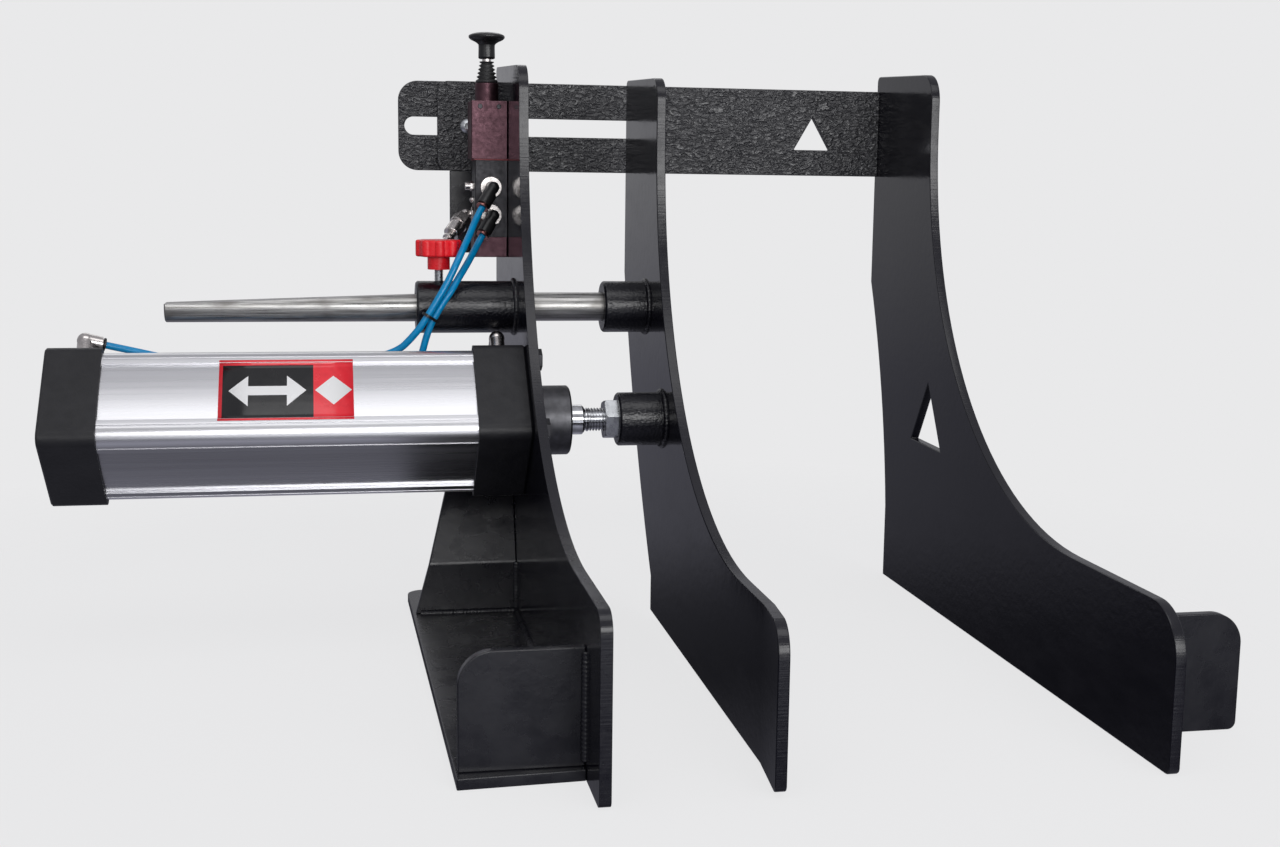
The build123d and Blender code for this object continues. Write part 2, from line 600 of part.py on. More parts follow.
def air_tube(node, points):
    """Air tube along straight runs joined by tangent arcs."""
    radii = corner_radii(points)
    path = FilletPolyline(*points, radius=radii)
    start = along(path @ 0, path % 0)
    solid = sweep(start * Circle(tube_r), path=path)
    volume_ratio = solid.volume / (pi * tube_r ** 2 * path.length)
    print(node, "length", round(path.length, 1), "volume ratio", round(volume_ratio, 4),
          "radii", [round(r, 1) for r in radii])
    save(node, solid)


rear_route = [
    exits["upper"],
    step_from(exits["upper"], port_arm, 11),
    (-42.5, 75.0, 337.5),
    (-49.0, 61.5, 326.5),
    (-55.5, 52.0, 314.5),
    (-63.0, 49.0, 299.0),
    (-72.5, 46.0, 283.0),
    (-85.0, 45.0, 263.0),
    (-93.5, 47.0, 252.0),
    (-106.0, 51.5, 239.0),
    (-140.0, 59.0, 229.5),
    (-188.0, 64.5, 225.5),
    (-244.0, 68.0, 226.5),
    (-292.0, 68.0, 232.0),
    step_from(exits["rear"], cap_arm["rear"], 24),
    exits["rear"],
]
front_route = [
    exits["lower"],
    step_from(exits["lower"], port_arm, 9),
    (-40.0, 80.5, 320.0),
    (-47.0, 68.0, 310.0),
    (-53.5, 57.0, 301.5),
    (-60.5, 50.5, 290.5),
    (-68.5, 49.0, 279.0),
    (-79.5, 48.0, 260.5),
    (-86.0, 50.5, 236.0),
    (-90.0, 63.0, 216.5),
    (-84.5, 80.0, 199.5),
    (-69.0, 95.0, 188.5),
    (-46.0, 102.0, 190.5),
    (-28.5, 99.5, 205.5),
    step_from(exits["front"], cap_arm["front"], 18),
    exits["front"],
]
air_tube("tube_to_rear_cap", rear_route)
air_tube("tube_to_front_cap", front_route)

tie_at = (-78.15, 46.85, 268.3)             # half way along one straight run of each tube
tie_dir = unit((-12.0, -1.0, -19.5))
tie_plane = Plane(origin=tie_at, x_dir=(4.8, 3.0, -3.1), z_dir=tie_dir)
tie_face = SlotOverall(17.4, 10.2) - SlotOverall(14.2, 7.0)
tie = extrude(tie_plane * Pos(0, 0, -1.2) * tie_face, 2.4, dir=tie_plane.z_dir)
tie += extrude(tie_plane * Pos(3, -6.2) * Rectangle(5, 4), 4, dir=tie_plane.z_dir)
save("cable_tie", tie)
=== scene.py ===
from math import cos, hypot, pi, radians, sin

import bpy
from mathutils import Matrix, Vector, noise
from mathutils.bvhtree import BVHTree


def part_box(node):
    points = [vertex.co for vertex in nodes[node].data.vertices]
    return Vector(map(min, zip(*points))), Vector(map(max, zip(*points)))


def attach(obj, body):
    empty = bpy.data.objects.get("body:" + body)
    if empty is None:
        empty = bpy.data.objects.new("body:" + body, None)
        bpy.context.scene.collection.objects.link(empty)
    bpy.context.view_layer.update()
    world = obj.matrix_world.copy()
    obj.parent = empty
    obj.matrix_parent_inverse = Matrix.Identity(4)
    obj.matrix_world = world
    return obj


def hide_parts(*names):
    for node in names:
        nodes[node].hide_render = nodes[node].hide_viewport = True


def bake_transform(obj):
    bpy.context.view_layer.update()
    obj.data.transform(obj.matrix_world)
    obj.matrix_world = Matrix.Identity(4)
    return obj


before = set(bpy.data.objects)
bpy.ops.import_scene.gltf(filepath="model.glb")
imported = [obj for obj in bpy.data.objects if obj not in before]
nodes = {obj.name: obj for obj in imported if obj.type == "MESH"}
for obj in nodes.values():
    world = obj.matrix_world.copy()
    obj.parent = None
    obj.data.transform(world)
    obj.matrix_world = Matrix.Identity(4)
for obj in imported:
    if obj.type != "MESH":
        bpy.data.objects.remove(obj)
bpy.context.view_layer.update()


def srgb(red, green, blue):
    """Linear colour from 0..255 screen values."""
    def linear(value):
        """One channel."""
        value /= 255
        return value / 12.92 if value <= 0.04045 else ((value + 0.055) / 1.055) ** 2.4
    return linear(red), linear(green), linear(blue)


# ---------------------------------------------------------------- camera
def add_camera(place, yaw, pitch, roll, lens):
    """Camera at place: yaw from +Y towards +X, pitch below the horizon, roll about its own line of sight."""
    ahead = Vector((sin(yaw) * cos(pitch), cos(yaw) * cos(pitch), -sin(pitch)))
    right = Vector((cos(yaw), -sin(yaw), 0))
    down = ahead.cross(right)
    side = right * cos(roll) + down * sin(roll)
    under = down * cos(roll) - right * sin(roll)
    data = bpy.data.cameras.new("camera")
    data.lens = lens
    data.sensor_width = 36
    data.clip_start, data.clip_end = 0.05, 60
    camera = bpy.data.objects.new("camera", data)
    camera.matrix_world = Matrix((
        (side.x, -under.x, -ahead.x, place[0]),
        (side.y, -under.y, -ahead.y, place[1]),
        (side.z, -under.z, -ahead.z, place[2]),
        (0, 0, 0, 1)))
    bpy.context.scene.collection.objects.link(camera)
    bpy.context.scene.camera = camera


add_camera((-0.16287, -1.31718, 0.38241), radians(11.0652), radians(8.4998), radians(-0.7463), 45)


# ---------------------------------------------------------------- air tubes
TUBE_D = 0.006


def air_tube(name, route, node):
    """Blue air tube along one smooth curve from fitting to fitting."""
    data = bpy.data.curves.new(name, "CURVE")
    data.dimensions = "3D"
    spline = data.splines.new("NURBS")
    spline.points.add(len(route) - 1)
    for point, place in zip(spline.points, route):
        point.co = (*place, 1)
        point.radius = TUBE_D / 2                # the bounding box grows by this radius
    spline.order_u = 3
    spline.use_endpoint_u = True
    spline.resolution_u = 8
    data.bevel_depth = 1.0                       # multiplied by the point's radius
    data.bevel_resolution = 6
    data.use_fill_caps = True
    tube = bpy.data.objects.new(name, data)
    bpy.context.scene.collection.objects.link(tube)
    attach(tube, "frame")
    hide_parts(node)
    return tube


rear_route = [
    (-0.03002, 0.09375, 0.36045),
    (-0.03531, 0.08907, 0.35202),
    (-0.0425, 0.0750, 0.3375),
    (-0.0490, 0.0615, 0.3265),
    (-0.0555, 0.0520, 0.3145),
    (-0.0630, 0.0490, 0.2990),
    (-0.0725, 0.0460, 0.2830),
    (-0.0850, 0.0450, 0.2630),
    (-0.0935, 0.0470, 0.2520),
    (-0.1060, 0.0515, 0.2390),
    (-0.1400, 0.0590, 0.2295),
    (-0.1880, 0.0645, 0.2255),
    (-0.2440, 0.0680, 0.2265),
    (-0.2920, 0.0680, 0.2320),
    (-0.32301, 0.07223, 0.23893),
    (-0.34556, 0.06642, 0.24473),
]
front_route = [
    (-0.03002, 0.09375, 0.33595),
    (-0.03435, 0.08992, 0.32905),
    (-0.0400, 0.0805, 0.3200),
    (-0.0470, 0.0680, 0.3100),
    (-0.0535, 0.0570, 0.3015),
    (-0.0605, 0.0505, 0.2905),
    (-0.0685, 0.0490, 0.2790),
    (-0.0795, 0.0480, 0.2605),
    (-0.0860, 0.0505, 0.2360),
    (-0.0900, 0.0630, 0.2165),
    (-0.0845, 0.0800, 0.1995),
    (-0.0690, 0.0950, 0.1885),
    (-0.0460, 0.1020, 0.1905),
    (-0.0285, 0.0995, 0.2055),
    (-0.02050, 0.08655, 0.22461),
    (-0.02050, 0.07382, 0.23734),
]
rear_tube = air_tube("air_tube_rear", rear_route, "tube_to_rear_cap")
front_tube = air_tube("air_tube_front", front_route, "tube_to_front_cap")


# ---------------------------------------------------------------- materials
class Look:
    """One procedural material. Its texture coordinates are the row frame at rest, in metres."""

    def __init__(self, name, colour, roughness, **sockets):
        self.material = bpy.data.materials.new(name)
        self.material.use_nodes = True
        self.tree = self.material.node_tree
        self.shader = self.tree.nodes["Principled BSDF"]
        self.set("Base Color", (*colour, 1))
        self.set("Roughness", roughness)
        for socket, value in sockets.items():
            self.set(socket.replace("_", " "), value)
        self.place = self.node("TexCoord").outputs["Object"]

    def set(self, socket, value):
        """Give a shader socket a constant or a link."""
        self.put(self.shader.inputs[socket], value)

    def put(self, socket, value):
        """Give any socket a constant or a link."""
        if isinstance(value, bpy.types.NodeSocket):
            self.tree.links.new(value, socket)
        else:
            socket.default_value = value

    def node(self, kind, *values, settings=(), **inputs):
        """New shader node with its sockets filled, by order or by name."""
        made = self.tree.nodes.new("ShaderNode" + kind)
        for key, value in dict(settings).items():
            setattr(made, key, value)
        for socket, value in zip(made.inputs, values):
            self.put(socket, value)
        for key, value in inputs.items():
            self.put(made.inputs[key.replace("_", " ")], value)
        return made

    def math(self, operation, *values):
        """Result of a math node."""
        return self.node("Math", *values, settings={"operation": operation}).outputs[0]

    def noise(self, size, detail=3.0, stretch=(1, 1, 1), warp=0.0):
        """Noise with features about size across, longer along a stretched axis."""
        scale = [1 / (size * s) for s in stretch]
        spot = self.node("Mapping", Vector=self.place, Scale=scale).outputs[0]
        made = self.node("TexNoise", Vector=spot, Scale=1.0, Detail=detail, Roughness=0.5, Distortion=warp)
        return made.outputs[0]

    def spread(self, value, low, high, start=0.3, end=0.7):
        """value from start..end to low..high, clamped."""
        return self.node("MapRange", value, start, end, low, high).outputs[0]

    def blend(self, factor, first, second):
        """Colour between two others."""
        made = self.node("Mix", settings={"data_type": "RGBA"})
        self.put(made.inputs[0], factor)
        self.put(made.inputs[6], first if isinstance(first, bpy.types.NodeSocket) else (*first, 1))
        self.put(made.inputs[7], second if isinstance(second, bpy.types.NodeSocket) else (*second, 1))
        return made.outputs[2]

    def relief(self, height, depth, under=None):
        """Bump of that depth in metres, on top of another one."""
        made = self.node("Bump", Strength=1.0, Distance=depth, Height=height)
        if under is not None:
            self.put(made.inputs["Normal"], under)
        self.set("Normal", made.outputs[0])
        return made.outputs[0]

    def facing(self, axis):
        """How squarely the surface faces along one of the frame's axes, 0 to 1."""
        normal = self.node("NewGeometry").outputs["Normal"]
        return self.math("ABSOLUTE", self.node("SeparateXYZ", normal).outputs[axis])


def plate_paint():
    """Gloss black powder coat on laser-cut plate: orange peel on the faces, cut marks on the edges."""
    look = Look("plate_paint", (0.004, 0.004, 0.008), 0.1, Specular_IOR_Level=0.5)
    cloud = look.noise(0.05, 4)
    tone = look.blend(look.spread(cloud, 0, 1), (0.0032, 0.0032, 0.0070), (0.0070, 0.0066, 0.0110))
    look.set("Base Color", tone)
    edge = look.spread(look.facing("X"), 1, 0, 0.4, 0.8)
    wipe = look.noise(0.012, 3, stretch=(1, 3, 1))
    polish = look.spread(wipe, 0.07, 0.17)
    look.set("Roughness", look.math("ADD", polish, look.math("MULTIPLY", edge, 0.13)))
    peel = look.relief(look.noise(0.0065, 2, warp=0.3), 0.00009)
    fine = look.relief(look.noise(0.0011, 2), 0.00002, peel)
    marks = look.noise(0.0012, 2, stretch=(40, 1, 1))
    look.relief(look.math("MULTIPLY", marks, edge), 0.00010, fine)
    return look.material


def wrinkle_paint():
    """Black hammered powder coat: worm-like ridges a few millimetres apart."""
    look = Look("wrinkle_paint", (0.030, 0.030, 0.033), 0.33, Specular_IOR_Level=0.9)
    cloud = look.noise(0.03, 3)
    look.set("Base Color", look.blend(look.spread(cloud, 0, 1), (0.024, 0.024, 0.027), (0.040, 0.040, 0.043)))
    look.set("Roughness", look.spread(look.noise(0.006, 3), 0.28, 0.38))
    worms = look.noise(0.0046, 2.0, stretch=(1.5, 1.5, 0.8), warp=1.3)
    ridge = look.relief(look.math("SMOOTH_MIN", worms, 0.62, 0.2), 0.0052)
    look.relief(look.noise(0.0009, 3), 0.00012, ridge)
    return look.material


def sheet_paint():
    """Semi-gloss black coat on the folded and welded sheets."""
    look = Look("sheet_paint", (0.008, 0.008, 0.012), 0.28)
    cloud = look.noise(0.06, 4)
    look.set("Base Color", look.blend(look.spread(cloud, 0, 1), (0.006, 0.006, 0.0095), (0.014, 0.014, 0.018)))
    look.set("Roughness", look.spread(look.noise(0.02, 4), 0.2, 0.36))
    peel = look.relief(look.noise(0.0060, 2, warp=0.3), 0.00010)
    look.relief(look.noise(0.0010, 2), 0.00002, peel)
    return look.material


def turned_paint():
    """Gloss black paint over turned steel, with fine rings and runs."""
    look = Look("turned_paint", (0.006, 0.006, 0.009), 0.14)
    look.set("Roughness", look.spread(look.noise(0.01, 3), 0.1, 0.22))
    rings = look.relief(look.noise(0.0012, 2, stretch=(1, 30, 30)), 0.00003)
    look.relief(look.noise(0.0019, 2.5, warp=0.4), 0.00042, rings)
    return look.material


def cap_paint():
    """Matt black coat on cast aluminium."""
    look = Look("cap_paint", (0.011, 0.011, 0.013), 0.5, Specular_IOR_Level=0.4)
    tone = look.blend(look.spread(look.noise(0.035, 5), 0, 1), (0.0075, 0.0075, 0.0095), (0.014, 0.014, 0.0165))
    look.set("Base Color", tone)
    look.set("Roughness", look.spread(look.noise(0.008, 4), 0.40, 0.56))
    cast = look.relief(look.noise(0.0035, 4), 0.00018)
    look.relief(look.noise(0.0006, 3), 0.00010, cast)
    return look.material


def anodised():
    """Extruded and anodised aluminium: fine lines along the profile."""
    look = Look("anodised_aluminium", (0.68, 0.68, 0.70), 0.26, Metallic=1.0)
    draw = look.noise(0.0006, 4, stretch=(400, 1, 1))
    bands = look.noise(0.004, 3, stretch=(90, 1, 1))
    look.set("Base Color", look.blend(look.spread(bands, 0, 1), (0.68, 0.68, 0.70), (0.73, 0.73, 0.75)))
    look.set("Roughness", look.spread(look.math("MULTIPLY", look.math("ADD", draw, bands), 0.5), 0.25, 0.33))
    lines = look.relief(draw, 0.000003)
    look.relief(look.noise(0.0004, 2), 0.000003, lines)
    return look.material


def metal(name, colour, low, high, grain=0.0004, stretch=(1, 1, 1), depth=0.00001):
    """Bare or plated metal with machining marks and uneven polish."""
    look = Look(name, colour, low, Metallic=1.0)
    dark = tuple(0.72 * part for part in colour)
    cloud = look.noise(0.007, 5)
    look.set("Base Color", look.blend(look.spread(cloud, 0, 1, 0.35, 0.62), dark, colour))
    look.set("Roughness", look.spread(look.noise(0.003, 4, stretch=stretch), low, high))
    look.relief(look.noise(grain, 3, stretch=stretch), depth)
    return look.material


def plastic(name, colour, low, high, shade=0.75, grain=0.0007, depth=0.00003, **sockets):
    """Moulded plastic or rubber with a faint grain."""
    look = Look(name, colour, low, **sockets)
    darker = tuple(shade * part for part in colour)
    look.set("Base Color", look.blend(look.spread(look.noise(0.006, 4), 0, 1), darker, colour))
    look.set("Roughness", look.spread(look.noise(0.004, 4), low, high))
    flow = look.relief(look.noise(0.005, 2), depth * 2)
    look.relief(look.noise(grain, 3), depth, flow)
    return look.material


def guide_steel():
    """Ground steel guide rod: drawn streaks, handling marks and a few dull patches."""
    look = Look("guide_steel", (0.36, 0.355, 0.345), 0.3, Metallic=1.0)
    streak = look.noise(0.0014, 5, stretch=(38, 1, 1))
    patch = look.noise(0.016, 5, stretch=(2.2, 1, 1))
    tone = look.blend(look.spread(streak, 0, 1, 0.35, 0.65), (0.22, 0.215, 0.205), (0.50, 0.495, 0.485))
    look.set("Base Color", look.blend(look.spread(patch, 0, 0.75, 0.52, 0.70), tone, (0.15, 0.14, 0.13)))
    look.set("Roughness", look.spread(look.math("ADD", streak, patch), 0.22, 0.48, 0.7, 1.3))
    look.relief(streak, 0.00006)
    return look.material


paint = {
    "plate": plate_paint(),
    "wrinkle": wrinkle_paint(),
    "sheet": sheet_paint(),
    "turned": turned_paint(),
    "cap": cap_paint(),
    "anodised": anodised(),
    "guide": guide_steel(),
    "chrome": metal("rod_chrome", (0.72, 0.73, 0.75), 0.06, 0.14, 0.0006, (0.4, 6, 6), 0.000004),
    "zinc": metal("zinc_plate", (0.66, 0.68, 0.70), 0.22, 0.42, 0.0009, depth=0.00002),
    "nickel": metal("nickel_plate", (0.72, 0.68, 0.66), 0.14, 0.28, 0.0008, depth=0.000012),
    "oxide": metal("black_oxide", (0.07, 0.07, 0.075), 0.32, 0.5, 0.0008, depth=0.00003),
    "purple": metal("brown_anodised", (0.125, 0.066, 0.080), 0.36, 0.52, 0.0005, depth=0.00002),
    "grey": metal("grey_anodised", (0.062, 0.061, 0.066), 0.38, 0.55, 0.0005, depth=0.00002),
    "collet": metal("collet_brown", (0.33, 0.14, 0.13), 0.22, 0.36),
    "red": plastic("red_plastic", (0.90, 0.013, 0.022), 0.22, 0.34, 0.90, Subsurface_Weight=0.12,
                   Subsurface_Scale=0.002),
    "blue": plastic("blue_tube", (0.0, 0.26, 0.56), 0.14, 0.22, 0.85, depth=0.000012,
                    Specular_IOR_Level=0.35, Coat_Weight=0.1, Coat_Roughness=0.1),
    "black": plastic("black_plastic", (0.011, 0.011, 0.012), 0.26, 0.42, 0.7),
    "rubber": plastic("black_rubber", (0.016, 0.016, 0.017), 0.46, 0.62, 0.7, depth=0.00005),
    "gasket": plastic("gasket_red", (0.30, 0.045, 0.055), 0.45, 0.6, 0.8),
    "collar": metal("dark_collar", (0.11, 0.11, 0.118), 0.34, 0.5, 0.0007, (1, 8, 8), 0.00003),
}


# ---------------------------------------------------------------- finish of the CAD nodes
WELD_GAP = 0.000004                  # doubled vertices closer than this become one
FLAT_ANGLE = radians(0.4)            # faces within this angle count as one plane
SHARP_ANGLE = radians(38)            # edges sharper than this are rounded


def soften(node, width):
    """Round a CAD node's sharp edges with modifiers, and give it clean shading."""
    part = nodes[node]
    weld = part.modifiers.new("weld", "WELD")
    weld.merge_threshold = WELD_GAP
    flat = part.modifiers.new("flat", "DECIMATE")
    flat.decimate_type = "DISSOLVE"
    flat.angle_limit = FLAT_ANGLE
    rounding = part.modifiers.new("rounding", "BEVEL")
    rounding.width = width
    rounding.segments = 2
    rounding.limit_method = "ANGLE"
    rounding.angle_limit = SHARP_ANGLE
    shading = part.modifiers.new("shading", "WEIGHTED_NORMAL")
    shading.keep_sharp = False
    shading.weight = 80


def finish_nodes(look, width, *names):
    """Give CAD nodes a material, with edges rounded by width where it isn't 0."""
    for name in names:
        part = nodes[name]
        part.data.materials.clear()
        part.data.materials.append(paint[look])
        if width:
            soften(name, width)


finish_nodes("plate", 0.0009, "left_jaw_plate", "moving_jaw_plate", "right_jaw_plate")
finish_nodes("wrinkle", 0.0010, "spacer_bar", "bar_bracket")
finish_nodes("sheet", 0.0009, "left_lug", "right_lug", "left_base_plate", "right_base_plate", "left_apron",
             "valve_strip")
finish_nodes("turned", 0.0006, "guide_bush", "guide_boss", "rod_boss")
finish_nodes("cap", 0.0009, "rear_cap", "front_cap")
finish_nodes("anodised", 0.0003, "cylinder_tube")
finish_nodes("guide", 0.0003, "guide_rod")
finish_nodes("collar", 0.0003, "rod_gland")
finish_nodes("rubber", 0, "rod_wiper", "piston_seals")
finish_nodes("zinc", 0.0003, "lock_nut", "bar_clamp_nut", "bar_clamp_washer", "bar_clamp_screw", "stop_pad",
             "rear_cap_screws")
finish_nodes("oxide", 0.0003, "plate_screws", "valve_head_screws")
finish_nodes("grey", 0.0004, "valve_body")
finish_nodes("purple", 0.0005, "valve_head", "valve_neck", "valve_bottom_cap")
finish_nodes("gasket", 0, "valve_gasket")
finish_nodes("nickel", 0.0003, "valve_port_rings", "exhaust_silencer", "blanking_plug", "inlet_stud",
             "inlet_elbow", "inlet_nipple", "rear_cap_elbow", "front_cap_elbow", "valve_spool", "piston")
finish_nodes("black", 0.0003, "valve_elbow_upper", "valve_elbow_lower", "rear_cap_collet", "front_cap_collet",
             "cable_tie")
finish_nodes("collet", 0.0002, "valve_collet_upper", "valve_collet_lower")
finish_nodes("red", 0.0006, "stop_knob")
for tube in (rear_tube, front_tube):
    tube.data.materials.append(paint["blue"])


# ---------------------------------------------------------------- mesh helpers
def add_piece(name, verts, faces, look, body, slot_name, replaced=()):
    """New mesh piece in the row frame that rides on a CAD body."""
    mesh = bpy.data.meshes.new(name)
    mesh.from_pydata([tuple(v) for v in verts], [], faces)
    mesh.validate()
    mesh.polygons.foreach_set("use_smooth", [True] * len(mesh.polygons))
    mesh.materials.append(paint[look])
    piece = bpy.data.objects.new(name, mesh)
    bpy.context.scene.collection.objects.link(piece)
    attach(piece, body)
    if replaced:
        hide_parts(*replaced)
    return piece


def cross_axes(direction):
    """Two unit vectors square to a direction."""
    direction = direction.normalized()
    helper = Vector((0, 0, 1)) if abs(direction.z) < 0.9 else Vector((1, 0, 0))
    first = direction.cross(helper).normalized()
    return first, direction.cross(first)


def loft(rings):
    """Vertices and faces through rings that have the same number of points, with both ends closed."""
    count = len(rings[0])
    verts = [point for ring in rings for point in ring]
    faces = []
    for row in range(len(rings) - 1):
        for i in range(count):
            j = (i + 1) % count
            a, b = row * count, (row + 1) * count
            faces.append((a + i, a + j, b + j, b + i))
    last = (len(rings) - 1) * count
    faces.append(tuple(reversed(range(count))))
    faces.append(tuple(range(last, last + count)))
    return verts, faces


def turned(start, direction, outline, segments=48, shape=None):
    """Rings of a body of revolution from (distance, radius) points; shape may change a ring's radius."""
    start, direction = Vector(start), Vector(direction).normalized()
    first, second = cross_axes(direction)
    rings = []
    for distance, radius in outline:
        ring = []
        for i in range(segments):
            angle = 2 * pi * i / segments
            r = shape(distance, angle, radius) if shape else radius
            ring.append(start + direction * distance + (first * cos(angle) + second * sin(angle)) * r)
        rings.append(ring)
    return rings


def screw_thread(low, high, pitch, depth):
    """Radius of a thread between two distances along its axis, for turned()."""
    def shape(distance, angle, radius):
        """Radius of the thread at one point of a ring."""
        if not low <= distance <= high:
            return radius
        phase = (distance / pitch - angle / (2 * pi)) % 1
        fade = min(1, (distance - low) / pitch, (high - distance) / pitch)
        return radius - depth * fade * min(1, 1.3 * abs(2 * phase - 1))
    return shape


def thread_outline(low, high, radius, pitch, per_turn=8):
    """Ring places along a threaded stretch."""
    count = int((high - low) / pitch * per_turn)
    return [(low + (high - low) * i / count, radius) for i in range(count + 1)]


# ---------------------------------------------------------------- piston rod and stop stud with real threads
rod_low, rod_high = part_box("piston_rod")
rod_r = (rod_high.y - rod_low.y) / 2
rod_z = (rod_high.z + rod_low.z) / 2
rod_len = rod_high.x - rod_low.x
shoulder = rod_len - 0.075           # the thinner threaded end starts here
thread_r, rod_pitch = 0.010, 0.0025  # M20 x 2.5
outline = [(0, 0.008), (0.032, 0.008), (0.032, rod_r), (0.04, rod_r), (shoulder - 0.002, rod_r),
           (shoulder - 0.0018, rod_r - 0.00002), (shoulder - 0.0002, rod_r - 0.0016),
           (shoulder, rod_r - 0.0019), (shoulder, thread_r - 0.0008), (shoulder + 0.0022, thread_r - 0.0008)]
outline += thread_outline(shoulder + 0.0025, rod_len - 0.001, thread_r, rod_pitch)
outline += [(rod_len, thread_r - 0.001)]
rod_shape = screw_thread(shoulder + 0.0025, rod_len - 0.001, rod_pitch, 0.0016)
add_piece("threaded_piston_rod", *loft(turned((rod_low.x, 0, rod_z), (1, 0, 0), outline, 64, rod_shape)),
          "chrome", "moving_jaw", "rod_chrome", ("piston_rod",))

stud_low, stud_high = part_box("stop_stud")
stud_r = (stud_high.x - stud_low.x) / 2
stud_x, stud_y = (stud_low.x + stud_high.x) / 2, (stud_low.y + stud_high.y) / 2
stud_len = stud_high.z - stud_low.z
stud_pitch = 0.00125                 # M8 x 1.25
outline = [(0, 0.0026), (0.0008, stud_r - 0.0006)]
outline += thread_outline(0.0012, stud_len - 0.001, stud_r, stud_pitch)
outline += [(stud_len, stud_r - 0.0006)]
add_piece("threaded_stop_stud",
          *loft(turned((stud_x, stud_y, stud_low.z), (0, 0, 1), outline, 36,
                       screw_thread(0.0012, stud_len - 0.001, stud_pitch, 0.0007))),
          "zinc", "stop_screw", "zinc", ("stop_stud",))


# ---------------------------------------------------------------- push knob and its rubber boot
def rounded(points, step=0.0004):
    """Outline resampled along a smooth curve through its points."""
    smooth = []
    for i in range(len(points) - 1):
        p0, p1 = points[max(i - 1, 0)], points[i]
        p2, p3 = points[i + 1], points[min(i + 2, len(points) - 1)]
        count = max(2, int(hypot(p2[0] - p1[0], p2[1] - p1[1]) / step))
        for k in range(count):
            t = k / count
            smooth.append(tuple(
                0.5 * (2 * p1[d] + (p2[d] - p0[d]) * t + (2 * p0[d] - 5 * p1[d] + 4 * p2[d] - p3[d]) * t * t
                       + (3 * p1[d] - p0[d] - 3 * p2[d] + p3[d]) * t ** 3) for d in (0, 1)))
    return smooth + [points[-1]]


knob_low, knob_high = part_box("valve_knob")
knob_x, knob_y = (knob_low.x + knob_high.x) / 2, (knob_low.y + knob_high.y) / 2
knob_len = knob_high.z - knob_low.z
knob_r = (knob_high.x - knob_low.x) / 2
knob_outline = [(0, 0.0064), (0.0006, 0.0072), (0.0016, 0.0074), (0.0110, 0.0073), (0.0130, 0.0080),
                (0.0148, 0.0104), (0.0164, 0.0138), (0.0180, 0.0157), (0.0194, knob_r - 0.0001),
                (0.0207, 0.0154), (0.0219, 0.0126), (0.0228, 0.0080), (knob_len, 0.0008)]
add_piece("push_knob", *loft(turned((knob_x, knob_y, knob_low.z), (0, 0, 1), rounded(knob_outline), 56)),
          "black", "valve_button", "black_plastic", ("valve_knob",))

boot_low, boot_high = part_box("valve_boot")
boot_len = boot_high.z - boot_low.z
folds = 5
boot_outline = [(0, 0.0050), (0, 0.0092), (0.0008, 0.0098)]
for fold in range(folds):
    base = 0.0012 + (boot_len - 0.0026) * fold / folds
    span = (boot_len - 0.0026) / folds
    rim = 0.0098 - 0.0034 * fold / folds
    boot_outline += [(base + 0.30 * span, rim), (base + 0.55 * span, rim - 0.0009),
                     (base + 0.85 * span, rim - 0.0026)]
boot_outline += [(boot_len - 0.0012, 0.0058), (boot_len - 0.0004, 0.0066), (boot_len, 0.0062),
                 (boot_len, 0.0048)]
boot = turned((knob_x, knob_y, boot_low.z), (0, 0, 1), boot_outline, 48)
boot_mesh = bpy.data.meshes.new("rubber_boot")
boot_mesh.from_pydata([tuple(v) for ring in boot for v in ring], [], loft(boot)[1])
boot_mesh.polygons.foreach_set("use_smooth", [True] * len(boot_mesh.polygons))
boot_mesh.materials.append(paint["rubber"])
boot_piece = bpy.data.objects.new("rubber_boot", boot_mesh)
bpy.context.scene.collection.objects.link(boot_piece)
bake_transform(boot_piece)
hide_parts("valve_boot")


# ---------------------------------------------------------------- weld beads
def bead(name, points, radius, body, look="sheet"):
    """Weld bead along a polyline in a corner: overlapping crescents of uneven size."""
    pitch, step, count = 0.0030, 0.0006, 12      # crescent spacing, ring spacing, points to a ring
    rings, travelled = [], 0.0
    points = [Vector(p) for p in points]
    for start, end in zip(points, points[1:]):
        run = end - start
        first, second = cross_axes(run)
        steps = max(2, int(run.length / step))
        for i in range(steps + 1):
            along = travelled + run.length * i / steps
            centre = start + run * (i / steps)
            wander = noise.noise(Vector((along * 130, radius * 900, 0.3)))
            ring = []
            for k in range(count):
                angle = 2 * pi * k / count
                outward = first * cos(angle) + second * sin(angle)
                phase = (along / pitch + 0.22 * cos(2 * angle)) % 1
                swell = 1 + 0.16 * (1 - phase) ** 2 + 0.16 * wander
                ring.append(centre + outward * radius * swell)
            rings.append(ring)
        travelled += run.length
    return add_piece(name, *loft(rings), look, body, "gloss_black")


def ring_bead(name, centre, radius, bead_r, body):
    """Weld bead round a boss that stands on a plate, about the X axis."""
    steps = 60
    points = []
    for i in range(steps + 1):
        angle = radians(360 * i / steps)
        points.append((centre[0], centre[1] + radius * cos(angle), centre[2] + radius * sin(angle)))
    return bead(name, points, bead_r, body, "turned")


lug_low, lug_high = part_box("left_lug")
apron_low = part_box("left_apron")[0]
bush_low, bush_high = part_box("guide_bush")
right_base_low, right_base_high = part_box("right_base_plate")
right_lug_low, right_lug_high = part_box("right_lug")
strip_low, strip_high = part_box("valve_strip")
bracket_low, bracket_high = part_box("bar_bracket")
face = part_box("left_jaw_plate")[0].x             # outer face of the left jaw plate
jaw_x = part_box("guide_boss")[1].x                # face of the moving jaw plate that the bosses stand on
right_face = right_base_low.x                    # outer face of the right jaw plate
floor_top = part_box("left_base_plate")[1].z       # top of the base plates
apron_bend_z = 0.052                             # the apron leans away from the plate above this

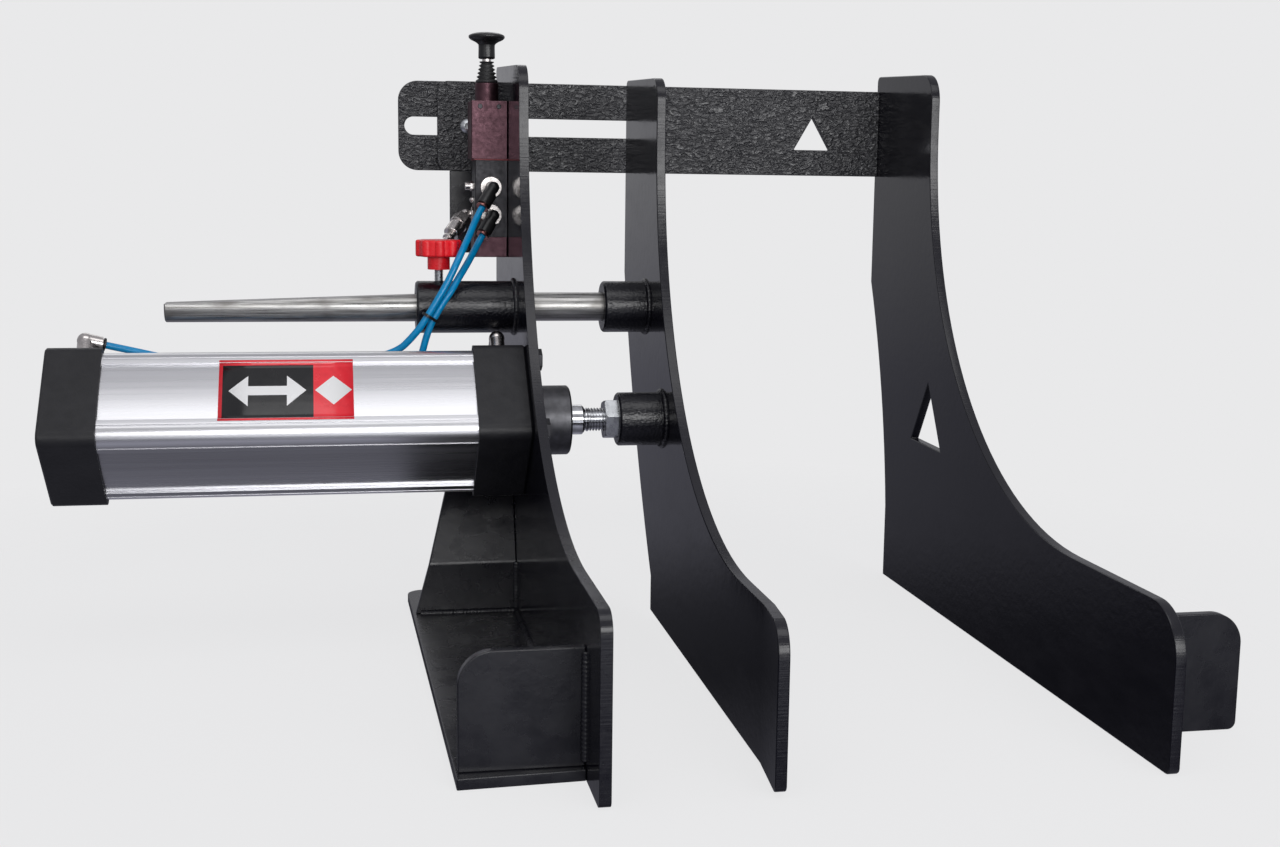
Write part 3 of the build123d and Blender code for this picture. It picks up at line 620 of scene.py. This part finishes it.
bead("weld_lug_plate",
     [(face, lug_low.y, floor_top + 0.004), (face, lug_low.y, lug_high.z - 0.003)], 0.0030, "frame")
bead("weld_lug_plate_rear",
     [(face, lug_high.y, floor_top), (face, lug_high.y, lug_high.z - 0.003)], 0.0026, "frame")
bead("weld_lug_base",
     [(lug_low.x + 0.003, lug_high.y, floor_top), (face, lug_high.y, floor_top)], 0.0028, "frame")
bead("weld_base_plate",
     [(face, lug_high.y + 0.01, floor_top), (face, apron_low.y - 0.002, floor_top)], 0.0030, "frame")
bead("weld_apron_base",
     [(apron_low.x + 0.004, apron_low.y, floor_top), (face - 0.002, apron_low.y, floor_top)], 0.0030, "frame")
bead("weld_apron_plate",
     [(face, apron_low.y, floor_top + 0.003), (face, apron_low.y, apron_bend_z)], 0.0026, "frame")
guide_y, guide_z = (bush_low.y + bush_high.y) / 2, (bush_low.z + bush_high.z) / 2
bush_r = (bush_high.y - bush_low.y) / 2
ring_bead("weld_bush", (face, guide_y, guide_z), bush_r, 0.0023, "frame")
ring_bead("weld_guide_boss", (jaw_x, guide_y, guide_z), bush_r, 0.0023, "moving_jaw")
ring_bead("weld_rod_boss", (jaw_x, 0, rod_z), bush_r, 0.0027, "moving_jaw")
bead("weld_right_lug",
     [(right_face, right_lug_low.y, floor_top + 0.004), (right_face, right_lug_low.y, right_lug_high.z - 0.003)],
     0.0028, "fixed_jaw")
bead("weld_right_base",
     [(right_face, right_lug_high.y + 0.004, floor_top), (right_face, right_base_high.y - 0.006, floor_top)],
     0.0030, "fixed_jaw")
bead("weld_right_lug_base",
     [(right_face + 0.004, right_lug_high.y, floor_top), (right_lug_high.x - 0.004, right_lug_high.y, floor_top)],
     0.0026, "fixed_jaw")
bead("weld_bracket",
     [(face, bracket_low.y, bracket_low.z + 0.004), (face, bracket_low.y, bracket_high.z - 0.006)],
     0.0026, "frame")
bead("weld_strip",
     [(face, strip_low.y, strip_low.z + 0.004), (face, strip_low.y, strip_high.z)], 0.0024, "frame")


# ---------------------------------------------------------------- sticker on the cylinder
def sticker_look():
    """Generic printed vinyl: red edge, black field with a white double arrow, red field with a white diamond."""
    look = Look("sticker_vinyl", (0.8, 0.02, 0.03), 0.3, Coat_Weight=0.15, Coat_Roughness=0.1)
    uv = look.node("TexCoord").outputs["UV"]
    parts = look.node("SeparateXYZ", uv)
    u, v = parts.outputs["X"], parts.outputs["Y"]

    def inside(value, low, high):
        """1 between two limits, else 0."""
        return look.math("MULTIPLY", look.math("GREATER_THAN", value, low), look.math("LESS_THAN", value, high))

    def both(first, second):
        """1 where both masks are 1."""
        return look.math("MULTIPLY", first, second)

    aspect = sticker_len / sticker_high
    across = look.math("ABSOLUTE", look.math("SUBTRACT", v, 0.5))
    along = look.math("ABSOLUTE", look.math("MULTIPLY", look.math("SUBTRACT", u, 0.36), aspect))
    black = both(inside(u, 0.028, 0.70), inside(v, 0.05, 0.93))
    shaft = both(look.math("LESS_THAN", across, 0.075), look.math("LESS_THAN", along, 0.28))
    head = both(look.math("LESS_THAN", across, look.math("SUBTRACT", 0.50, along)), inside(along, 0.25, 0.50))
    arrow = look.math("MAXIMUM", shaft, head)
    off = look.math("ABSOLUTE", look.math("MULTIPLY", look.math("SUBTRACT", u, 0.85), aspect))
    diamond = look.math("LESS_THAN", look.math("ADD", off, across), 0.24)
    worn = look.spread(look.noise(0.006, 5), 0.78, 1.0, 0.3, 0.5)
    red = look.blend(worn, (0.50, 0.015, 0.025), (0.80, 0.030, 0.045))
    colour = look.blend(black, red, (0.006, 0.006, 0.007))
    look.set("Base Color", look.blend(look.math("MAXIMUM", arrow, diamond), colour, (0.80, 0.80, 0.80)))
    look.set("Roughness", look.spread(look.noise(0.01, 4), 0.16, 0.30))
    look.relief(look.noise(0.009, 3), 0.00008)
    return look.material


tube_low, tube_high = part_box("cylinder_tube")
sticker_left, sticker_len, sticker_high = tube_low.x + 0.090, 0.1045, 0.0600
side_dir = Vector((0, sin(radians(45)), sin(radians(45))))     # up the upper front face
out_dir = Vector((0, -sin(radians(45)), sin(radians(45))))     # out of it
paint["sticker"] = sticker_look()


def sticker_heights(count, gap):
    """Height of the sticker above the cylinder's axis along its short side, smoothed over the grooves."""
    surface = BVHTree.FromObject(nodes["cylinder_tube"], bpy.context.evaluated_depsgraph_get())
    middle = Vector(((tube_low.x + tube_high.x) / 2, 0, rod_z))
    raw = []
    for i in range(count):
        spot = middle + side_dir * (i / (count - 1) - 0.5) * sticker_high + out_dir * 0.08
        hit = surface.ray_cast(spot, -out_dir)[0]
        raw.append((hit - middle).dot(out_dir))
    smooth = []
    for i in range(count):
        near = raw[max(0, i - 3):i + 4]
        smooth.append(max(raw[i], sum(near) / len(near)) + gap)
    return smooth


def add_sticker():
    """Sticker pressed on the upper front face of the cylinder."""
    rows, columns = 61, 5
    heights = sticker_heights(rows, 0.00012)
    verts, faces, uvs = [], [], []
    for i in range(rows):
        v = i / (rows - 1)
        for j in range(columns):
            u = j / (columns - 1)
            verts.append(Vector((sticker_left + u * sticker_len, 0, rod_z))
                         + side_dir * (v - 0.5) * sticker_high + out_dir * heights[i])
            uvs.append((u, v))
    for i in range(rows - 1):
        for j in range(columns - 1):
            a = i * columns + j
            faces.append((a, a + 1, a + columns + 1, a + columns))
    piece = add_piece("cylinder_sticker", verts, faces, "sticker", "frame", "anodised_tube")
    layer = piece.data.uv_layers.new(name="sticker")
    for loop in piece.data.loops:
        layer.data[loop.index].uv = uvs[loop.vertex_index]
    skin = piece.modifiers.new("skin", "SOLIDIFY")
    skin.thickness = 0.00010
    skin.offset = 0


add_sticker()


# ---------------------------------------------------------------- floor, world and lights
PALE = srgb(233, 233, 234)


def pale_world():
    """Even pale backdrop for the camera; a dim floor, a grey horizon and a bright ceiling for reflections."""
    world = bpy.data.worlds.new("studio")
    world.use_nodes = True
    bpy.context.scene.world = world
    tree = world.node_tree
    tree.nodes.clear()
    link = tree.links.new
    place = tree.nodes.new("ShaderNodeTexCoord")
    split = tree.nodes.new("ShaderNodeSeparateXYZ")
    link(place.outputs["Generated"], split.inputs[0])
    shift = tree.nodes.new("ShaderNodeMath")
    shift.operation = "MULTIPLY_ADD"
    shift.inputs[1].default_value = 0.5          # height -1..1 becomes 0..1 on the ramp
    shift.inputs[2].default_value = 0.5
    link(split.outputs["Z"], shift.inputs[0])
    ramp = tree.nodes.new("ShaderNodeValToRGB")
    levels = [(-1.0, 0.10), (-0.86, 0.24), (-0.70, 0.36), (-0.45, 0.20), (-0.30, 0.03), (-0.255, 0.05),
              (-0.215, 0.15), (-0.12, 0.19), (0.0, 0.37), (0.16, 0.42), (0.45, 0.38), (0.8, 0.42), (1.0, 0.50)]
    elements = ramp.color_ramp.elements
    while len(elements) < len(levels):
        elements.new(0.5)
    for element, (height, level) in zip(elements, levels):
        element.position = height / 2 + 0.5
        tint = 1.16 if height < -0.1 else 1.03
        element.color = (level * 0.97, level * 0.97, level * tint, 1)
    link(shift.outputs[0], ramp.inputs[0])
    glow = tree.nodes.new("ShaderNodeBackground")
    link(ramp.outputs[0], glow.inputs["Color"])
    paper = tree.nodes.new("ShaderNodeBackground")
    paper.inputs["Color"].default_value = (*PALE, 1)
    seen = tree.nodes.new("ShaderNodeLightPath")
    mix = tree.nodes.new("ShaderNodeMixShader")
    link(seen.outputs["Is Camera Ray"], mix.inputs[0])
    link(glow.outputs[0], mix.inputs[1])
    link(paper.outputs[0], mix.inputs[2])
    out = tree.nodes.new("ShaderNodeOutputWorld")
    link(mix.outputs[0], out.inputs["Surface"])


def pale_floor():
    """Floor disc that takes a faint soft shadow and fades into the backdrop."""
    look = Look("floor_paper", PALE, 0.9)
    look.set("Base Color", (0.10, 0.10, 0.10, 1))
    look.set("Specular IOR Level", 0.0)
    look.set("Emission Color", (*PALE, 1))
    look.set("Emission Strength", 0.90)
    away = look.node("VectorMath", look.place, settings={"operation": "LENGTH"}).outputs["Value"]
    fade = look.spread(look.math("ADD", away, look.math("MULTIPLY", look.noise(0.4, 2), 0.02)), 1, 0, 0.55, 0.95)
    look.set("Alpha", fade)
    look.material.surface_render_method = "BLENDED"
    count, radius, level = 64, 1.2, -0.0004      # just under the feet
    verts = [(0, 0, level)]
    verts += [(radius * cos(2 * pi * i / count), radius * sin(2 * pi * i / count), level) for i in range(count)]
    faces = [(0, i + 1, (i + 1) % count + 1) for i in range(count)]
    mesh = bpy.data.meshes.new("floor")
    mesh.from_pydata(verts, [], faces)
    mesh.materials.append(look.material)
    floor = bpy.data.objects.new("floor", mesh)
    bpy.context.scene.collection.objects.link(floor)
    floor.visible_glossy = False
    floor.visible_diffuse = False


def softbox(name, place, target, width, height, radiance, colour=(1, 1, 1)):
    """Rectangular area light of a given brightness."""
    data = bpy.data.lights.new(name, "AREA")
    data.shape = "RECTANGLE"
    data.size, data.size_y = width, height
    data.energy = radiance * pi * width * height
    data.color = colour
    lamp = bpy.data.objects.new(name, data)
    lamp.location = place
    aim = Vector(target) - Vector(place)
    lamp.rotation_euler = aim.to_track_quat("-Z", "Y").to_euler()
    bpy.context.scene.collection.objects.link(lamp)


pale_world()
pale_floor()
softbox("overhead", (0.05, -0.70, 1.70), (0, -0.05, 0.2), 1.9, 0.8, 1.35)
softbox("front", (0.55, -2.3, 0.80), (0.1, 0, 0.28), 2.2, 0.75, 5.2)
softbox("front_low", (0.4, -2.2, -0.25), (0.2, 0, 0.1), 2.0, 0.4, 1.1, (0.92, 0.94, 1.0))
softbox("front_left", (-1.5, -1.9, 0.9), (-0.1, 0, 0.2), 0.9, 1.2, 0.9)
softbox("behind", (-0.2, 2.0, 1.5), (0, 0, 0.3), 1.6, 0.8, 0.9)

view_settings = bpy.context.scene.view_settings
view_settings.view_transform = "Standard"
view_settings.look = "None"
